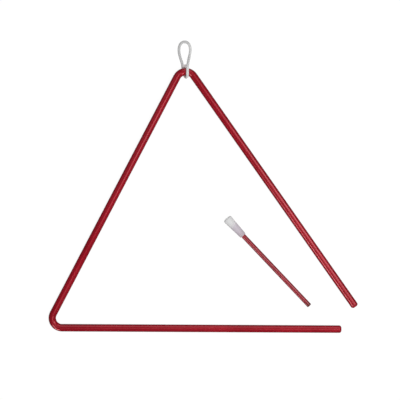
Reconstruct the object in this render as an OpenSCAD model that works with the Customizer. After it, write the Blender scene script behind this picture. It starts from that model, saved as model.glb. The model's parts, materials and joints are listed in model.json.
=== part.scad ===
// Alarm triangle: a round steel bar bent into an open triangle, with a hanging cord and a loose beater.
// It lies flat, +Z up, with the origin on the ground under the middle of the bar's outline.
// The bar rests on its bottom side and on the cord, which passes under the top bend.
// All sizes are in millimetres and all angles in degrees.

/* [Triangle bar] */
// Diameter of the round bar
bar_d = 10; // [8:0.5:12]
// Closed left side, from corner to corner along the bar's axis
left_side = 400; // [320:1:520]
// Bottom side, from its corner to the free end
bottom_side = 395.5; // [380:0.5:520]
// Right side, from the top corner to the free end
right_side = 398.5; // [300:0.5:410]
// Angle between two sides at each bend
corner_angle = 62.66; // [60:0.02:66]
// Radius of each bend, to the bar's axis
bend_r = 13; // [11:0.5:30]
// How much the bar's radius shrinks where it is bent
bend_thinning = 0.05; // [0.02:0.01:0.2]
// Rounding of the bar's two cut ends
end_round = 2.8; // [0.5:0.1:3]

/* [Hanging cord] */
// Diameter of the cord
cord_d = 3.8; // [3:0.1:4.4]
// Clear space between the cord and the bar
cord_gap = 0.3; // [0.2:0.1:0.6]
// Half of the way that the turn round the bar runs sideways
turn_half = 2.5; // [2.2:0.1:3.4]
// Length of the knot
knot_len = 8; // [7:0.1:9]
// Diameter of the knot
knot_d = 6.4; // [5.6:0.1:7]
// Rounding of the knot's ends
knot_round = 2.4; // [1:0.1:2.7]

/* [Beater] */
// Diameter of the beater's rod
rod_d = 6.3; // [5:0.1:7.5]
// Rounding of the rod's striking end
rod_round = 0.8; // [0.2:0.1:1.5]
// Length of the beater, from end to end
beater_len = 161.5; // [120:0.5:200]
// Length of the grip
grip_len = 32; // [26:0.5:45]
// Diameter of the grip at its closed end
grip_d = 12.8; // [11:0.1:16]
// Diameter of the grip where the rod comes out
grip_mouth_d = 9; // [8.5:0.1:10.5]
// Rounding of the grip's closed end
grip_round = 2.4; // [1:0.1:3]
// Rounding of the grip's mouth
mouth_round = 0.6; // [0.2:0.1:0.8]
// How far the rod goes into the grip
rod_depth = 20; // [12:0.5:23]
// Clear space round the rod in the grip
grip_fit = 0.05; // [0.02:0.01:0.1]

/* [Where the beater lies] */
// Height of the striking end above the axis of the bottom side
tip_above_bottom = 31; // [25:0.5:60]
// Distance of the striking end from the axis of the right side
tip_from_right = 49.5; // [40:0.5:80]
// Turn of the beater against the right side
beater_lean = 8.4; // [0:0.1:15]

/* [Hidden] */
$fn = 96;

bar_r = bar_d / 2;
bent_r = bar_r - bend_thinning;
cord_r = cord_d / 2;
rod_r = rod_d / 2;

// The triangle in its own plane: lower left corner at zero, bottom side along X
tangent_len = bend_r / tan(corner_angle / 2);
// The straight sides lap a little over the thinner bends
leg_lap = 0.3;
leg_start = tangent_len - leg_lap;
right_angle = 2 * corner_angle - 180;
right_dir = [cos(right_angle), sin(right_angle)];
top_corner = left_side * [cos(corner_angle), sin(corner_angle)];
right_end = top_corner + right_side * right_dir;
low_bend = [tangent_len, bend_r];
to_top_bend = [cos(corner_angle * 1.5 - 180), sin(corner_angle * 1.5 - 180)];
top_bend = top_corner + bend_r / sin(corner_angle / 2) * to_top_bend;
bend_sweep = 180 - corner_angle;
crown = top_bend + [0, bend_r];

// The cord's turn round the crown: the bend falls away at its sides, so its centre lies inside the bar's axis
turn_drop = bend_r - sqrt(bend_r * bend_r - turn_half * turn_half);
turn_r = bent_r + cord_r + turn_drop + cord_gap;
turn_z = cord_r + turn_r;

// The cord under the crown lifts it, so the whole triangle leans a little
tilt = asin((turn_z - bar_r) / crown.y);
crown_y = crown.y * cos(tilt);
right_reach = right_end.x + end_round * (1 - right_dir.x) - (bar_r - end_round) * right_dir.y;
low_x = low_bend.x - bend_r - bent_r;
high_x = max(right_reach, bottom_side);
mid_x = (low_x + high_x) / 2;
mid_y = (crown_y + bent_r - bar_r) / 2;
turn_centre = [crown.x - mid_x, crown_y - mid_y - turn_drop, turn_z];

// The cord's route: left strand, eye and right strand, then the turn over and under the bar.
// Each strand point is [X from the crown, Y from the bar's outer edge, lift].
// A lift of 0 lies on the ground and a lift of 1 is level with the turn's top.
strand_points = [
    [-4.2, 3.4, 0.06], [-4.7, 5.3, 0.02], [-5.3, 7.8, 0], [-6.3, 11, 0], [-7.4, 14.2, 0],
    [-8.6, 18.9, 0], [-9.3, 23.9, 0], [-8.8, 29.1, 0], [-7, 32.9, 0], [-4.4, 35, 0],
    [-1.4, 35.5, 0], [1.6, 34.7, 0], [4, 32.5, 0], [5.5, 28.9, 0], [6, 24.2, 0],
    [5.5, 19.3, 0.03], [4.6, 15.1, 0.16], [3.9, 11.5, 0.37], [3.3, 8, 0.6],
    [2.85, 4.5, 0.81], [2.5, 0.8, 0.95]
];
turn_from = 80;
turn_to = 280;
turn_step = 20;
// Up to this angle the turn runs straight over the bar, and then it runs sideways
slip_from = 120;
turn_shift = -0.1;
tail_points = [[-2.6, -2, 0.02], [-2, -0.7, 0.05]];
ground_gap = 0.1;
cord_lay = cord_r + ground_gap;
cord_sides = 8;
rings_per_span = 2;
// The knot's middle: X from the crown and Y from the bar's outer edge
knot_place = [-1.2, 2.5];
// How far a cut runs past the face that it opens
cut_over = 1;

// A point of a strand in the frame of the whole part
function strand_point(p) = [
    turn_centre.x + p.x,
    turn_centre.y + turn_drop + bent_r + p.y,
    cord_lay + p.z * (turn_z + turn_r - cord_lay)
];

// A point of the turn, at an angle from the outer side over the top of the bar
function turn_point(a) = turn_centre + [
    turn_shift + turn_half * cos(max(0, a - slip_from) / (turn_to - slip_from) * 180),
    turn_r * cos(a),
    turn_r * sin(a)
];

// A smooth curve through four points, from the second to the third
function curve(a, b, c, d, t) =
    b + 0.5 * t * (c - a + t * (2 * a - 5 * b + 4 * c - d + t * (3 * b - a - 3 * c + d)));
function unit(v) = v / norm(v);
function pick(p, i) = p[max(0, min(len(p) - 1, i))];

function smooth(p, n) = [
    for (i = [0 : len(p) - 2], k = [0 : n - 1])
        curve(pick(p, i - 1), p[i], p[i + 1], pick(p, i + 2), k / n),
    p[len(p) - 1]
];

function headings(p) = [for (i = [0 : len(p) - 1]) unit(pick(p, i + 1) - pick(p, i - 1))];
function square_to(v, heading) = unit(v - (v * heading) * heading);

// Side directions that follow the curve without twisting
function sides_along(h) = [
    for (i = 0, s = square_to([0, 0, 1], h[0]); i < len(h); i = i + 1, s = square_to(s, pick(h, i))) s
];

route = concat(
    [for (p = strand_points) strand_point(p)],
    [for (a = [turn_from : turn_step : turn_to]) turn_point(a)],
    [for (p = tail_points) strand_point(p)]
);
cord_line = smooth(route, rings_per_span);
function run_length(p, i = 1) = i == len(p) ? 0 : norm(p[i] - p[i - 1]) + run_length(p, i + 1);

// Least gap between stretches of the cord that lie more than a few rings apart
apart = 6;
cord_self_gap = min([
    for (i = [0 : len(cord_line) - 1 - apart], j = [i + apart : len(cord_line) - 1])
        norm(cord_line[i] - cord_line[j])
]) - cord_d;
echo(cord_length = run_length(cord_line), cord_self_gap = cord_self_gap);

// The beater on the ground: it touches at the grip's closed end and at the striking end
grip_taper = atan((grip_d - grip_mouth_d) / 2 / grip_len);
function grip_radius(s) = grip_d / 2 - s * tan(grip_taper);
end_fillet_r = grip_radius(grip_round) - grip_round / cos(grip_taper);
mouth_fillet_r = grip_radius(grip_len - mouth_round) - mouth_round / cos(grip_taper);
contact_run = beater_len - rod_round - grip_round;
contact_drop = end_fillet_r - rod_r + rod_round;
beater_dip = atan(contact_drop / contact_run)
    + asin((grip_round - rod_round) / norm([contact_run, contact_drop]));
grip_end_z = end_fillet_r * cos(beater_dip) + grip_round * (1 + sin(beater_dip));
beater_angle = right_angle + beater_lean;
tip = [
    top_corner.x - (tip_from_right - (top_corner.y - tip_above_bottom) * right_dir.x) / -right_dir.y,
    tip_above_bottom
];
grip_end = tip - beater_len * cos(beater_dip) * [cos(beater_angle), sin(beater_angle)];

// What a rounding takes off the outer corner of a section, at a radius and a height
module corner_cut(r, height, round) {
    translate([r - round, height - round])
        difference() {
            square(2 * round);
            circle(round);
        }
}

// A straight round bar from the origin along +X, with its far end rounded
module rounded_bar(r, length, round) {
    rotate([0, 90, 0])
        rotate_extrude()
            difference() {
                square([r, length]);
                corner_cut(r, length, round);
            }
}

// One bend of the bar about the origin, from a start angle through the sweep of a bend
module bar_bend(from) {
    rotate([0, 0, from])
        rotate_extrude(angle = bend_sweep)
            translate([bend_r, 0])
                circle(bent_r);
}

// Puts what is drawn in the triangle's plane on the ground, leaning on the cord
module in_triangle_plane() {
    translate([-mid_x, -mid_y, bar_r])
        rotate([tilt, 0, 0])
            children();
}

// Puts what is drawn along +X, from the grip's closed end, where the beater lies
module in_beater_place() {
    translate([grip_end.x - mid_x, grip_end.y - mid_y, grip_end_z])
        rotate([0, beater_dip, beater_angle])
            children();
}

module triangle_bar() {
    color([0.61, 0.14, 0.18])
        in_triangle_plane() {
            translate([leg_start, 0, 0])
                rounded_bar(bar_r, bottom_side - leg_start, end_round);
            translate(low_bend)
                bar_bend(90 + corner_angle);
            translate(leg_start * unit(top_corner))
                rotate([0, 90, corner_angle])
                    cylinder(r = bar_r, h = left_side - 2 * leg_start);
            translate(top_bend)
                bar_bend(right_angle + 90);
            translate(top_corner + leg_start * right_dir)
                rotate([0, 0, right_angle])
                    rounded_bar(bar_r, right_side - leg_start, end_round);
        }
}

module hanging_cord() {
    heading = headings(cord_line);
    side = sides_along(heading);
    last = len(cord_line) - 1;
    points = [
        for (i = [0 : last], k = [0 : cord_sides - 1])
            let (a = 360 * k / cord_sides)
                cord_line[i] + cord_r * (cos(a) * side[i] + sin(a) * cross(heading[i], side[i]))
    ];
    walls = [
        for (i = [0 : last - 1], k = [0 : cord_sides - 1])
            let (a = i * cord_sides + k, b = i * cord_sides + (k + 1) % cord_sides)
                each [[a, a + cord_sides, b], [b, a + cord_sides, b + cord_sides]]
    ];
    first_cap = [for (k = [1 : cord_sides - 2]) [0, k, k + 1]];
    last_cap = [for (k = [1 : cord_sides - 2]) [0, k + 1, k] + last * cord_sides * [1, 1, 1]];
    color([0.8, 0.8, 0.79])
        polyhedron(points, concat(walls, first_cap, last_cap));
}

module cord_knot() {
    color([0.72, 0.7, 0.69])
        translate([
            turn_centre.x + knot_place.x,
            turn_centre.y + turn_drop + bent_r + knot_place.y,
            knot_d / 2 + ground_gap
        ])
            rotate([0, 90, 0])
                rotate_extrude()
                    difference() {
                        translate([0, -knot_len / 2])
                            square([knot_d / 2, knot_len]);
                        for (end = [0, 1])
                            mirror([0, end])
                                corner_cut(knot_d / 2, knot_len / 2, knot_round);
                    }
}

module beater_rod() {
    color([0.6, 0.2, 0.25])
        in_beater_place()
            translate([grip_len - rod_depth, 0, 0])
                rounded_bar(rod_r, beater_len - grip_len + rod_depth, rod_round);
}

module beater_grip() {
    end_tangent = end_fillet_r + grip_round * cos(grip_taper);
    mouth_tangent = mouth_fillet_r + mouth_round * cos(grip_taper);
    color([0.88, 0.86, 0.87])
        in_beater_place()
            rotate([0, 90, 0])
                rotate_extrude()
                    difference() {
                        union() {
                            polygon([
                                [0, 0],
                                [end_fillet_r, 0],
                                [end_tangent, grip_round * (1 + sin(grip_taper))],
                                [mouth_tangent, grip_len - mouth_round * (1 - sin(grip_taper))],
                                [mouth_fillet_r, grip_len],
                                [0, grip_len]
                            ]);
                            translate([end_fillet_r, grip_round])
                                circle(grip_round);
                            translate([mouth_fillet_r, grip_len - mouth_round])
                                circle(mouth_round);
                        }
                        translate([0, grip_len - rod_depth])
                            square([rod_r + grip_fit, rod_depth + cut_over]);
                    }
}

triangle_bar();
hanging_cord();
cord_knot();
beater_rod();
beater_grip();
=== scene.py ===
# %% [markdown]
# An alarm triangle, dressed for its portrait.
# The object is a round steel bar bent twice and painted red, a pale cord eye at its top
# bend, and a loose beater with a milky plastic grip. The solid model gives every size
# and place. This lesson adds what the solid model leaves out: the cord's braid, its
# knot, the paint, the plastic, and the light they are seen in.

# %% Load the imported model
import json
import math

import bpy
import numpy as np
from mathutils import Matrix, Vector


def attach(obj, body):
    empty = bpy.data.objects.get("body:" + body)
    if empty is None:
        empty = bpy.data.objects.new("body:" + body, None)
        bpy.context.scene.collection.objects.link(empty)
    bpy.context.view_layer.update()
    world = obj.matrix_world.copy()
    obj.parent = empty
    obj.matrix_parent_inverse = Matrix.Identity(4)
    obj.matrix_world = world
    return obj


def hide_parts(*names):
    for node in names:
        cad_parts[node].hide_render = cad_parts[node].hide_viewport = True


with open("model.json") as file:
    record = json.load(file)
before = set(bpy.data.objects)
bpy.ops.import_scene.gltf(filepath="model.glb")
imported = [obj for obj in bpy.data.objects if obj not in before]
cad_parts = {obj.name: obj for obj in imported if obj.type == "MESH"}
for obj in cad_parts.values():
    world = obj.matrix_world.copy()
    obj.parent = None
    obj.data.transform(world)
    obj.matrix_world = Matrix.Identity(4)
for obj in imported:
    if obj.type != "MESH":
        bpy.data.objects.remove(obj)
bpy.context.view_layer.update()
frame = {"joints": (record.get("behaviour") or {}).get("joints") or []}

# %% [markdown]
# The camera comes first, because everything is judged through it. The photograph looks
# straight down on the object as it lies. A nearer camera with a short lens would show
# more of the bar's flanks at the rim of the picture, so a long lens two metres up is
# used. Its place and its slight roll were worked out from where the corners of the
# triangle fall in the picture.

# %% Put the camera straight above
camera_height = 2.0
bar_level = 0.007
picture_width = 0.5351
picture_centre = (-0.00486, 0.00032)
picture_roll = math.radians(0.2925)


def add_object(name, data):
    """A new object made from this data and linked to the scene."""
    made = bpy.data.objects.new(name, data)
    bpy.context.scene.collection.objects.link(made)
    return made


lens = bpy.data.cameras.new("long_lens")
lens.sensor_width = 36.0
lens.lens = lens.sensor_width * camera_height / picture_width
camera = add_object("camera_above", lens)
camera.location = (*picture_centre, bar_level + camera_height)
camera.rotation_euler = (0.0, 0.0, picture_roll)
bpy.context.scene.camera = camera
print("lens:", round(lens.lens, 1), "mm at", camera_height, "m")

# %% [markdown]
# The hanging cord is one limp length. From the knot it runs up the left of the eye,
# round its top, down the right, over the bar's top bend, under it, and back into the
# knot. A step of its strands is given from the top bend: sideways, outwards from the
# bar's outer edge, both in millimetres, and the share of the climb from the ground to
# the height at which the cord passes over the bar. The turn round the bar is given by
# angles. The numbers repeat those of the solid model, so the braid lies exactly where
# the solid cord lies.

# %% Steps of the cord's route
cord_radius = 0.0019
cord_gap = 0.0003

strand_steps = [
    (-4.2, 3.4, 0.06), (-4.7, 5.3, 0.02), (-5.3, 7.8, 0.0), (-6.3, 11.0, 0.0),
    (-7.4, 14.2, 0.0), (-8.6, 18.9, 0.0), (-9.3, 23.9, 0.0), (-8.8, 29.1, 0.0),
    (-7.0, 32.9, 0.0), (-4.4, 35.0, 0.0), (-1.4, 35.5, 0.0), (1.6, 34.7, 0.0),
    (4.0, 32.5, 0.0), (5.5, 28.9, 0.0), (6.0, 24.2, 0.0), (5.5, 19.3, 0.03),
    (4.6, 15.1, 0.16), (3.9, 11.5, 0.37), (3.3, 8.0, 0.6), (2.85, 4.5, 0.81),
    (2.5, 0.8, 0.95),
]
tail_steps = [(-2.6, -2.0, 0.02), (-2.0, -0.7, 0.05)]

swing = next(j for j in frame["joints"] if j["name"] == "hanger_swing")
turn_centre = Vector(swing["pos_m"])
turn_radius = turn_centre.z - cord_radius
outer_edge = turn_radius - cord_radius - cord_gap
print("the cord turns on", tuple(turn_centre), "with radius", round(turn_radius, 5))

# %% Turn the steps into points
mm = 0.001
ground_height = 0.0020
turn_half, turn_shift = 0.0025, -0.0001
turn_start, turn_end, turn_step = 80, 280, 20
sidestep_start = 120


def strand_point(step):
    """A point of the cord from a step off the top bend."""
    over, out, climb = step
    over_bar = turn_centre.z + turn_radius
    return Vector((turn_centre.x + over * mm,
                   turn_centre.y + outer_edge + out * mm,
                   ground_height + climb * (over_bar - ground_height)))


def turn_point(degrees):
    """A point of the turn round the bar: straight over it, then sideways under it."""
    angle = math.radians(degrees)
    sidestep = math.pi * max(0, degrees - sidestep_start) / (turn_end - sidestep_start)
    return turn_centre + Vector((turn_shift + turn_half * math.cos(sidestep),
                                 turn_radius * math.cos(angle),
                                 turn_radius * math.sin(angle)))


cord_points = [strand_point(step) for step in strand_steps]
cord_points += [turn_point(d) for d in range(turn_start, turn_end + 1, turn_step)]
cord_points += [strand_point(step) for step in tail_steps]
print("cord route:", len(cord_points), "points")

# %% [markdown]
# A smooth line through the points is needed before anything can follow it. A Blender
# curve with Bezier handles would do, but its length is hard to steer. The solid model
# uses a spline that passes through every point, so the same spline is written out here
# and then walked in even steps, which keeps the braid's pattern even too.

# %% Draw an even line through points
spline_share = 0.025
cord_step = 0.00025


def even_line(points, step):
    """Evenly spaced points, about step apart, on a spline through the given points."""
    known = np.array([tuple(p) for p in points])
    last = len(known) - 1
    fine = []
    for i in range(last):
        a, b = known[max(i - 1, 0)], known[i]
        c, d = known[i + 1], known[min(i + 2, last)]
        for t in np.arange(0.0, 1.0, spline_share):
            bend = 2 * a - 5 * b + 4 * c - d + t * (3 * b - a - 3 * c + d)
            fine.append(b + 0.5 * t * (c - a + t * bend))
    fine = np.array(fine + [known[last]])
    hops = np.linalg.norm(np.diff(fine, axis=0), axis=1)
    walked = np.concatenate([[0.0], np.cumsum(hops)])
    marks = np.linspace(0.0, walked[-1], int(round(walked[-1] / step)) + 1)
    line = np.stack([np.interp(marks, walked, fine[:, k]) for k in range(3)], axis=1)
    return line, marks


cord_line, cord_marks = even_line(cord_points, cord_step)
cord_length = float(cord_marks[-1])
print("cord length:", round(cord_length / mm, 1), "mm in", len(cord_line), "steps")

# %% [markdown]
# The cord itself is a round braid: eight yarns wind one way, eight the other, and at
# each crossing one dives under the next. It could be sixteen thin tubes, which is heavy
# and full of hidden faces, or a bump map, which goes flat in outline. Here one closed
# tube is pushed in and out by the height of the topmost yarn. The height is also kept
# on the mesh as a number called relief, so that the finish can paint shade into the gaps.
# A second number says where more shade is painted over the cord, away from the light.

# %% Height of a braid
yarns_each_way = 8
own_share, dive_share = 0.55, 0.45
gap_floor = 0.2


def braid_height(around, along):
    """Height from 0 to 1 of the topmost yarn, for turns around and cells along."""
    right = yarns_each_way * around + along
    left = yarns_each_way * around - along
    across_right = right - np.floor(right) - 0.5
    across_left = left - np.floor(left) - 0.5
    over = np.where((np.floor(right) + np.floor(left)) % 2 == 0, 1.0, -1.0)
    crown_right, crown_left = np.cos(np.pi * across_right), np.cos(np.pi * across_left)
    height = np.maximum(own_share * crown_right + dive_share * over * crown_left,
                        own_share * crown_left - dive_share * over * crown_right)
    return np.clip((height - gap_floor) / (1.0 - gap_floor), 0.0, 1.0)


trial = braid_height(np.linspace(0, 1, 200)[:, None], np.linspace(0, 4, 200)[None, :])
print("braid height from", round(trial.min(), 2), "to", round(trial.max(), 2))

# %% Faces and directions of a tube


def side_directions(headings):
    """Two directions square to the line at each step, carried along without twisting."""
    sides = []
    side = np.array([0.0, 0.0, 1.0])
    for heading in headings:
        side = side - heading * side.dot(heading)
        side = side / np.linalg.norm(side)
        sides.append(side)
    sides = np.array(sides)
    return sides, np.cross(headings, sides)


def tube_faces(rows, spokes):
    """Faces of a closed tube: quads along it, and a fan of triangles at each end."""
    faces = []
    for r in range(rows - 1):
        for s in range(spokes):
            n = (s + 1) % spokes
            faces.append((r * spokes + s, r * spokes + n,
                          (r + 1) * spokes + n, (r + 1) * spokes + s))
    first, final = rows * spokes, rows * spokes + 1
    base = (rows - 1) * spokes
    faces += [(first, (s + 1) % spokes, s) for s in range(spokes)]
    faces += [(final, base + s, base + (s + 1) % spokes) for s in range(spokes)]
    return faces


print("two rings of three points make", len(tube_faces(2, 3)), "faces")

# %% Wrap the braid round a line
spokes_per_yarn = 8
tube_spokes = yarns_each_way * spokes_per_yarn
gap_depth = 0.09
end_bulge = 0.25
end_relief, end_painted_shade = 0.5, 0.0


def keep_number(mesh, name, values, at_ends):
    """Keeps a number on each point of a tube, its two end points last."""
    kept = mesh.attributes.new(name, "FLOAT", "POINT")
    kept.data.foreach_set("value", np.append(values, [at_ends] * 2).astype(np.float32))


def braided_tube(name, line, marks, radii, cell, painted_shade=0.0):
    """A closed braided tube round a line; cell is the length of one crossing of the braid."""
    headings = np.gradient(line, axis=0)
    headings = headings / np.linalg.norm(headings, axis=1)[:, None]
    sides, ups = side_directions(headings)
    around = np.arange(tube_spokes) / tube_spokes
    height = braid_height(around[None, :], marks[:, None] / cell)
    reach = radii[:, None] * (1.0 - gap_depth + gap_depth * height)
    angle = 2 * np.pi * around
    skin = (line[:, None, :]
            + sides[:, None, :] * (reach * np.cos(angle))[:, :, None]
            + ups[:, None, :] * (reach * np.sin(angle))[:, :, None])
    ends = np.array([line[0] - headings[0] * radii[0] * end_bulge,
                     line[-1] + headings[-1] * radii[-1] * end_bulge])
    verts = np.concatenate([skin.reshape(-1, 3), ends])
    mesh = bpy.data.meshes.new(name)
    mesh.from_pydata(verts.tolist(), [], tube_faces(len(line), tube_spokes))
    # how much shade is painted on the yarn at each point, kept on the mesh for the finish
    shade_per_point = np.repeat(np.broadcast_to(painted_shade, len(line)), tube_spokes)
    keep_number(mesh, "relief", height.ravel(), end_relief)
    keep_number(mesh, "painted_shade", shade_per_point, end_painted_shade)
    mesh.shade_smooth()
    return mesh


print("a tube has", tube_spokes, "spokes,", spokes_per_yarn, "for each yarn")

# %% [markdown]
# The cord necks down where it is pulled into the knot, so its last few millimetres at
# both ends are thinner. It rides on the body that swings at the top bend and stands for
# the plain solid cord.

# %% Make the hanging cord
cord_cell = 0.0017
neck_length, neck_curve = 0.0035, 0.6
neck_share, swell_share = 0.66, 0.34
# painted shade along the cord: most on the left strand and the top of the eye, none on the right
# strand
painted_shade_places = [0.0, 0.28, 0.34, 0.43, 1.0]
painted_shade_amounts = [0.8, 1.0, 0.8, 0.05, 0.0]

from_end = np.minimum(cord_marks, cord_length - cord_marks)
swell = np.clip(from_end / neck_length, 0.0, 1.0) ** neck_curve
cord_radii = cord_radius * (neck_share + swell_share * swell)
cord_painted_shade = np.interp(cord_marks / cord_length, painted_shade_places, painted_shade_amounts)
cord_mesh = braided_tube("braided_cord", cord_line, cord_marks, cord_radii,
                         cord_cell, cord_painted_shade)
braided_cord = add_object("braided_cord", cord_mesh)
print("braided cord:", len(cord_mesh.vertices), "points")

# %% [markdown]
# The knot is a tight overhand knot that hides between the two strands, close against
# the bar. Its line is the old trefoil formula, which crosses itself three times, pulled
# in until neighbouring turns press into each other as they do in a knot drawn tight.
# The cord's trimmed end runs on from the left strand and is tucked under the bar, so
# the strand seems to go straight under it. A ball would be simpler, and look like one.

# %% Tie the knot
knot_over, knot_out, knot_height = -0.0012, 0.0025, 0.0033
knot_wide, wide_loops = 0.00095, 1.6
knot_long, long_loops, long_shift = 0.00062, 1.9, 0.0002
knot_thick = 0.00120
knot_radius, knot_cell, knot_step, knot_count = 0.00142, 0.0015, 0.00022, 49

knot_middle = turn_centre + Vector((knot_over, outer_edge + knot_out, 0))
knot_middle.z = knot_height
turn = np.linspace(0.0, 2 * np.pi, knot_count)
knot_points = np.stack([
    knot_wide * (np.sin(turn) + wide_loops * np.sin(2 * turn)),
    knot_long * (np.cos(turn) - long_loops * np.cos(2 * turn)) + long_shift,
    -knot_thick * np.sin(3 * turn),
], axis=1) + np.array(knot_middle)
knot_line, knot_marks = even_line(knot_points, knot_step)
knot_radii = np.full(len(knot_line), knot_radius)
knot_mesh = braided_tube("tied_knot", knot_line, knot_marks, knot_radii, knot_cell)
tied_knot = add_object("tied_knot", knot_mesh)
print("tied knot:", len(knot_mesh.vertices), "points,", round(knot_marks[-1] / mm), "mm of cord")

# %% Leave a trimmed end
stub_steps = [(-3.5, 2.4, -1.2), (-3.25, 0.6, -1.3), (-3.05, -1.3, -1.3), (-2.9, -3.2, -1.3)]
# the trimmed end lies under the bar, so its yarn gets painted shade
stub_radius, stub_painted_shade = 0.00180, 0.7

stub_points = [knot_middle + Vector(step) * mm for step in stub_steps]
stub_line, stub_marks = even_line(stub_points, knot_step)
stub_radii = np.full(len(stub_line), stub_radius)
stub_mesh = braided_tube("trimmed_end", stub_line, stub_marks, stub_radii,
                         cord_cell, stub_painted_shade)
trimmed_end = add_object("trimmed_end", stub_mesh)
print("trimmed end:", round(stub_marks[-1] / mm, 1), "mm long")

# %% Hand the cord and its knot to the frame
for piece in (braided_cord, tied_knot, trimmed_end):
    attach(piece, "hanger")
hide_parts("hanging_cord")
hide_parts("cord_knot")
print("cord declared:", round(cord_length, 4), "m")

# %% [markdown]
# Finishes are built from nodes, and node trees are hard to read as code. So one small
# class stands for the output of a node. Adding, subtracting or multiplying two of them
# adds a Math node, mixing two colours adds a Mix node, and everything else comes from
# one method that takes the node's type, its settings and its sockets. Each finish
# starts from the place of a point on its piece, and noise is read at that place.

# %% A wire between nodes


class Wire:
    """One output of a node tree, which can be used in sums."""

    def __init__(self, tree, socket=None):
        self.tree = tree
        self.socket = socket

    def node(self, kind, settings=None, sockets=None, out=0):
        """A new node with its settings and sockets, as a wire from one output."""
        made = self.tree.nodes.new(kind)
        for key, value in (settings or {}).items():
            setattr(made, key, value)
        for key, value in (sockets or {}).items():
            if isinstance(value, Wire):
                self.tree.links.new(value.socket, made.inputs[key])
            else:
                made.inputs[key].default_value = value
        return Wire(self.tree, made.outputs[out] if made.outputs else None)

    def sum_of(self, operation, first, second):
        return self.node("ShaderNodeMath", {"operation": operation}, {0: first, 1: second})

    def __add__(self, other):
        return self.sum_of("ADD", self, other)

    def __radd__(self, other):
        return self.sum_of("ADD", other, self)

    def __sub__(self, other):
        return self.sum_of("SUBTRACT", self, other)

    def __rsub__(self, other):
        return self.sum_of("SUBTRACT", other, self)

    def __mul__(self, other):
        return self.sum_of("MULTIPLY", self, other)

    def __rmul__(self, other):
        return self.sum_of("MULTIPLY", other, self)

    def between(self, low, high):
        """From 0 at low to 1 at high, softly, and flat outside."""
        return self.node("ShaderNodeMapRange", {"interpolation_type": "SMOOTHSTEP"},
                         {"Value": self, "From Min": low, "From Max": high})

    def blend(self, first, second):
        """A colour from first where this is 0 to second where it is 1."""
        return self.node("ShaderNodeMix", {"data_type": "RGBA"},
                         {0: self, 6: self.colour(first), 7: self.colour(second)}, out=2)

    def colour(self, tone):
        return tone if isinstance(tone, Wire) else (*tone, 1.0)


print("a wire can add, subtract, multiply and blend")

# %% Start a finish and close it


def new_finish(name):
    """A new material, and a wire with the place of each point on the piece."""
    finish = bpy.data.materials.new(name)
    finish.use_nodes = True
    finish.node_tree.nodes.clear()
    return finish, Wire(finish.node_tree).node("ShaderNodeTexCoord", out="Object")


def close_finish(wire, sockets):
    """Ends a material in one Principled shader with these sockets."""
    surface = wire.node("ShaderNodeBsdfPrincipled", None, sockets)
    wire.node("ShaderNodeOutputMaterial", None, {"Surface": surface})


def dress(piece, finish):
    """Gives a piece one finish all over."""
    piece.data.materials.clear()
    piece.data.materials.append(finish)


print("finishes end in a Principled shader")

# %% Noise and small bumps
bump_depth = 0.0002


def noise(place, scale, detail=2.0, roughness=0.5):
    """Noise from 0 to 1, with about scale waves to the metre."""
    return place.node("ShaderNodeTexNoise", None, {
        "Vector": place, "Scale": scale, "Detail": detail, "Roughness": roughness})


def bumps(height, strength):
    """A surface direction that small bumps of this height tilt."""
    return height.node("ShaderNodeBump", None, {
        "Height": height, "Strength": strength, "Distance": bump_depth})


print("bumps are up to", bump_depth / mm, "mm deep")

# %% [markdown]
# The bar wears a glossy deep red paint. Sprayed enamel is never quite even: its tone
# drifts a little along the bar, it has the fine ripple that painters call orange peel,
# and its gloss differs by a touch from place to place. Three noises of different size
# do that. A clear coat on top gives the bright lines along the sides. A third of the
# colour layer under it counts as metal: that gives the soft red shine along the middle
# of each side, which plain matt red would lack.

# %% Red paint
drift_share, grain_share = 0.9, 0.1
deep_below, bright_above = 0.3, 0.7
browned = (0.085, 0.022, 0.014)


def red_paint(name, deep, bright, wear=None):
    """Glossy red enamel between two tones; wear makes a wire to brown it by, from 0 to 1."""
    finish, place = new_finish(name)
    drift = noise(place, scale=22.0, detail=3.0, roughness=0.55)
    grain = noise(place, scale=420.0)
    peel = noise(place, scale=600.0, detail=1.0)
    mottle = drift_share * drift + grain_share * grain
    tone = mottle.between(deep_below, bright_above).blend(deep, bright)
    if wear is not None:
        tone = wear(place).blend(tone, browned)
    ripple = bumps(peel, strength=0.015)
    close_finish(place, {
        "Base Color": tone,
        "Roughness": 0.21 + 0.07 * drift,
        "Metallic": 0.35,
        "Specular IOR Level": 0.1,
        "Coat Weight": 0.8,
        "Coat Roughness": 0.05,
        "Normal": ripple,
    })
    return finish


bar_paint = red_paint("bar_paint", deep=(0.335, 0.0045, 0.0150),
                      bright=(0.412, 0.0085, 0.0222))
dress(bpy.data.objects["triangle_bar"], bar_paint)
print("bar painted:", bar_paint.name)

# %% [markdown]
# The beater's rod has the same paint. Its free end is what strikes the bar, so the
# paint there is knocked and browned for the last few millimetres. The place along the
# rod is a dot product: the vector from the grip's closed end to the point, measured
# along the rod's own direction. A noise frays the edge of the worn part.

# %% Place along the beater
grip_end = Vector((0.031005, -0.023952, 0.0062996))
beater_turn, beater_dip = math.radians(-46.28), math.radians(1.12318)
beater_way = Vector((math.cos(beater_turn) * math.cos(beater_dip),
                     math.sin(beater_turn) * math.cos(beater_dip), -math.sin(beater_dip)))


def along_beater(place):
    """Metres from the grip's closed end, along the beater."""
    reach = place.node("ShaderNodeVectorMath", {"operation": "SUBTRACT"},
                       {0: place, 1: grip_end})
    return reach.node("ShaderNodeVectorMath", {"operation": "DOT_PRODUCT"},
                      {0: reach, 1: beater_way}, out="Value")


print("the beater points along", [round(part, 3) for part in beater_way])

# %% Rod paint, worn at the striking end
beater_length = 0.1615
worn_length, worn_past = 0.006, 0.003
fray_depth = 0.006
worn_most = 0.8


def struck_end(place):
    """From 0 to worn_most over the last millimetres of the rod, with a frayed edge."""
    fray = noise(place, scale=300.0, detail=3.0)
    reach = along_beater(place) + fray_depth * fray
    return worn_most * reach.between(beater_length - worn_length, beater_length + worn_past)


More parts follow.
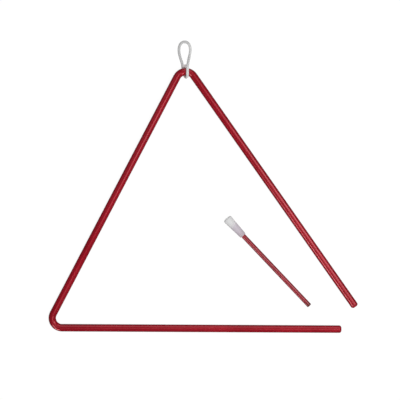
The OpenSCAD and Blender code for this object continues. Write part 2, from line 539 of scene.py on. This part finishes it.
rod_paint = red_paint("rod_paint", deep=(0.255, 0.0150, 0.0255),
                      bright=(0.318, 0.0205, 0.0330), wear=struck_end)
dress(bpy.data.objects["beater_rod"], rod_paint)
print("rod painted:", rod_paint.name, "worn past", beater_length - worn_length, "m")

# %% [markdown]
# The grip is a tapered sleeve of soft milky plastic. Light goes into it, scatters, and
# comes out again, so its shading is flat and its edges stay light. The red rod inside
# tints it from the depth that the rod reaches, and most at the mouth, where the wall is
# thinnest. Light could be traced through the plastic, but that needs many more samples
# before the grain is gone. So the tint is put into the colour, in two stages along the
# grip, and a sheen lightens the edges.

# %% Milky plastic
grip_length, rod_depth = 0.032, 0.020
rod_inner_end = grip_length - rod_depth
cloud_depth = 0.004
stain_before, stain_past = 0.004, 0.006
lip_before, lip_past, lip_most = 0.012, 0.002, 0.8
milk_dull, milk_bright = (0.65, 0.65, 0.65), (0.69, 0.69, 0.695)
stained, reddened = (0.545, 0.495, 0.55), (0.43, 0.345, 0.385)

grip_plastic, place = new_finish("grip_plastic")
cloud = noise(place, scale=160.0)
reach = along_beater(place) + cloud_depth * (cloud - 0.5)
stain = reach.between(rod_inner_end - stain_before, rod_inner_end + stain_past)
lip = reach.between(grip_length - lip_before, grip_length + lip_past)
milk = cloud.blend(milk_dull, milk_bright)
tint = (lip_most * lip).blend(stain.blend(milk, stained), reddened)
skin = noise(place, scale=700.0)
close_finish(place, {
    "Base Color": tint,
    "Roughness": 0.30 + 0.12 * skin,
    "IOR": 1.43,
    "Specular IOR Level": 0.12,
    "Sheen Weight": 1.0,
    "Sheen Roughness": 0.35,
    "Normal": bumps(skin, strength=0.03),
})
dress(bpy.data.objects["beater_grip"], grip_plastic)
print("grip: milky plastic,", rod_depth, "m of rod inside")

# %% [markdown]
# The cord is undyed polyester, a light neutral grey against the white ground. Its yarns
# are bundles of fine filaments, so a very fine noise roughens them. The gaps of the
# braid are painted darker as shade, read from the relief that was kept on the mesh. The
# left half of the eye and the trimmed end are painted greyer as shade away from the
# light, and a coarse noise of soil varies it. The knot gets a paler yarn as painted light
# against the shade the strands throw on it, with a pink tint of painted red light
# thrown back from the bar.

# %% Braided yarn
# yarn tones where shade is painted on, with soil noise over it
greyed_gap, greyed_crown = (0.45, 0.45, 0.45), (0.57, 0.57, 0.57)
gap_below, crown_above = 0.05, 0.85
fibre_share, soil_share = 0.30, 0.5


def braided_yarn(name, gap, crown):
    """Pale yarn from the tone of the braid's gaps to that of its crowns, greyed by painted shade
    and soil.
    """
    finish, place = new_finish(name)
    relief = place.node("ShaderNodeAttribute", {"attribute_name": "relief"}, out="Fac")
    painted_shade = place.node("ShaderNodeAttribute", {"attribute_name": "painted_shade"}, out="Fac")
    fibre = noise(place, scale=2600.0, detail=3.0, roughness=0.6)
    soil = noise(place, scale=130.0)
    # painted shade: the yarn is darker in the braid's gaps, read from the relief
    shade = (relief + fibre_share * (fibre - 0.5)).between(gap_below, crown_above)
    greyed = shade.blend(greyed_gap, greyed_crown)
    # painted shade where the cord lies away from the light, plus a noise of soil
    shade_and_soil = (painted_shade + soil_share * (soil - 0.5)).between(0.0, 1.0)
    close_finish(place, {
        "Base Color": shade_and_soil.blend(shade.blend(gap, crown), greyed),
        "Roughness": 0.62 + 0.16 * fibre,
        "Specular IOR Level": 0.35,
        "Sheen Weight": 0.15,
        "Sheen Roughness": 0.5,
        "Normal": bumps(fibre, strength=0.15),
    })
    return finish


# the darker gap tone is painted shade in the braid's crevices
cord_yarn = braided_yarn("cord_yarn", gap=(0.58, 0.58, 0.577), crown=(0.73, 0.73, 0.726))
# the knot's paler, pinkish tones are painted light: lit against the strands' shade, and tinted
# by red light thrown back from the bar
knot_yarn_painted_light = braided_yarn("knot_yarn_painted_light", gap=(0.79, 0.74, 0.74), crown=(0.93, 0.88, 0.88))
dress(braided_cord, cord_yarn)
dress(trimmed_end, cord_yarn)
dress(tied_knot, knot_yarn_painted_light)
print("cord and knot: braided yarn")

# %% [markdown]
# The object lies on a plain white ground with hardly a shadow, as if on a light table.
# A white floor under lamps would show a shadow along every side of the bar. So most of
# the ground's white is its own soft glow, and only a tenth of it is light that it gets
# from above. Light sampling is switched off for the glow: a plain glow all round is
# found by chance rays anyway, and picking points on so large a floor gives grain.

# %% White ground
ground_half = 6.0
paper_dull, paper_bright = (0.095, 0.095, 0.095), (0.105, 0.105, 0.105)


def flat_sheet(name, x, y):
    """A mesh of one rectangle that reaches x and y to each side of its middle."""
    mesh = bpy.data.meshes.new(name)
    mesh.from_pydata([(-x, -y, 0), (x, -y, 0), (x, y, 0), (-x, y, 0)], [], [(0, 1, 2, 3)])
    return mesh


white_ground = add_object("white_ground", flat_sheet("white_ground", ground_half, ground_half))
ground_finish, place = new_finish("ground_finish")
close_finish(place, {
    "Base Color": noise(place, scale=3.0).blend(paper_dull, paper_bright),
    "Roughness": 0.9,
    "Specular IOR Level": 0.1,
    "Emission Color": (1.0, 1.0, 1.0, 1.0),
    "Emission Strength": 0.93,
})
ground_finish.cycles.emission_sampling = "NONE"
dress(white_ground, ground_finish)
white_ground.visible_glossy = False
print("ground:", 2 * ground_half, "m wide")

# %% [markdown]
# Two jobs are split between the lights. One soft box above, leaning a little to the
# front right, lights the object, and it is kept out of reflections so that it doesn't
# wash out the top of every bar. The bright lines on the paint are reflections of white
# cards, which come after it. Lamps could do both jobs at once, but then every highlight
# would also grey the flanks of the bar.

# %% Soft box above
lamp_bearing, lamp_lean, lamp_angle = -36, 15, 40
lamp_distance, lamp_glow = 1.6, 6.7


def aim(piece, bearing, lean, distance):
    """Puts a piece at these angles, in degrees, lean from straight up, facing the object."""
    bearing, lean = math.radians(bearing), math.radians(lean)
    towards = Vector((math.sin(lean) * math.cos(bearing),
                      math.sin(lean) * math.sin(bearing), math.cos(lean)))
    piece.location = distance * towards
    piece.rotation_mode = "QUATERNION"
    piece.rotation_quaternion = (-towards).to_track_quat("-Z", "Y")


def across(distance, degrees):
    """How wide a thing is that fills this angle at this distance."""
    return 2 * distance * math.tan(math.radians(degrees / 2))


lamp = bpy.data.lights.new("box_above", "AREA")
lamp.size = across(lamp_distance, lamp_angle)
lamp.energy = lamp_glow * math.pi * lamp.size ** 2
box_above = add_object("box_above", lamp)
box_above.visible_glossy = False
aim(box_above, lamp_bearing, lamp_lean, lamp_distance)
print("box above:", round(lamp.size, 2), "m wide,", round(lamp.energy), "watts")

# %% [markdown]
# The cards stand round the object, as a product photographer places them. Each faces
# the object, glows by itself, fades towards its rims, and shows only in reflections. A
# side of the bar mirrors what stands square to it, at twice the slope of the paint: a
# line near the middle of the bar needs a high card, a line near its edge a low one. A
# card that is off to one end gives a line that fades along the side. Light sampling is
# off for them too, and a nearer card hides the part of a farther one behind it.

# %% A white card with soft rims
card_distance = 5.0
black, white = (0.0, 0.0, 0.0), (1.0, 1.0, 1.0)


def rim_fade(place, axis, half, soft):
    """From 0 at the card's rim to 1 once a soft share of the way to its middle is passed."""
    line = place.node("ShaderNodeSeparateXYZ", None, {0: place}, out=axis)
    inwards = half - line.node("ShaderNodeMath", {"operation": "ABSOLUTE"}, {0: line})
    return inwards.between(0.0, soft * half)


def white_card(name, bearing, lean, wide, tall, glow, soft_wide=0.3, soft_tall=0.3, nearer=0.0):
    """A glowing card that fills wide by tall degrees and shows only in reflections."""
    distance = card_distance - nearer
    x, y = across(distance, wide) / 2, across(distance, tall) / 2
    card = add_object(name, flat_sheet(name, x, y))
    finish, place = new_finish(name)
    level = rim_fade(place, 0, x, soft_wide) * rim_fade(place, 1, y, soft_tall)
    close_finish(place, {
        "Base Color": (*black, 1.0),
        "Specular IOR Level": 0.0,
        "Emission Color": level.blend(black, white),
        "Emission Strength": glow,
    })
    finish.cycles.emission_sampling = "NONE"
    dress(card, finish)
    card.visible_camera = card.visible_diffuse = card.visible_shadow = False
    aim(card, bearing, lean, distance)
    print(name, "glows", glow)


# %% White cards for the highlights
white_card("card_above", bearing=-35, lean=15, wide=44, tall=44, glow=0.55)
white_card("card_right", bearing=26.2, lean=38, wide=26, tall=42, glow=3.1,
           soft_wide=1.0, nearer=0.6)
white_card("card_left", bearing=-24.5, lean=22, wide=18, tall=40, glow=1.7,
           soft_wide=1.0, nearer=0.6)
white_card("card_front_left", bearing=226.5, lean=57, wide=20, tall=25, glow=4.7,
           soft_wide=0.8)
white_card("card_front_right", bearing=-67, lean=53, wide=15, tall=24, glow=4.2)
white_card("card_back_left", bearing=142, lean=48, wide=36, tall=60, glow=0.32,
           soft_wide=0.8, soft_tall=0.5)
white_card("card_behind", bearing=82, lean=55, wide=44, tall=66, glow=0.85, soft_tall=0.5)
white_card("card_low_left", bearing=243, lean=81, wide=24, tall=12, glow=9.0)

# %% [markdown]
# The room round the set is a dim, even grey. It fills what the soft box and the cards
# leave out, so that no flank of the bar goes black. A picture of a real room would put
# its windows on the paint. Colours are shown plainly, without the softening of bright
# tones that Blender starts with, because the white ground has to stay white.

# %% Grey surroundings and plain colours
room_strength = 0.10

surroundings = bpy.data.worlds.new("grey_room")
surroundings.use_nodes = True
room = surroundings.node_tree.nodes["Background"]
room.inputs["Color"].default_value = (*white, 1.0)
room.inputs["Strength"].default_value = room_strength
bpy.context.scene.world = surroundings
bpy.context.scene.view_settings.view_transform = "Standard"
bpy.context.scene.view_settings.look = "None"
print("room strength:", room_strength)

# %% [markdown]
# Last, the places of all pieces are brought up to date.

# %% Bring the scene up to date
bpy.context.view_layer.update()
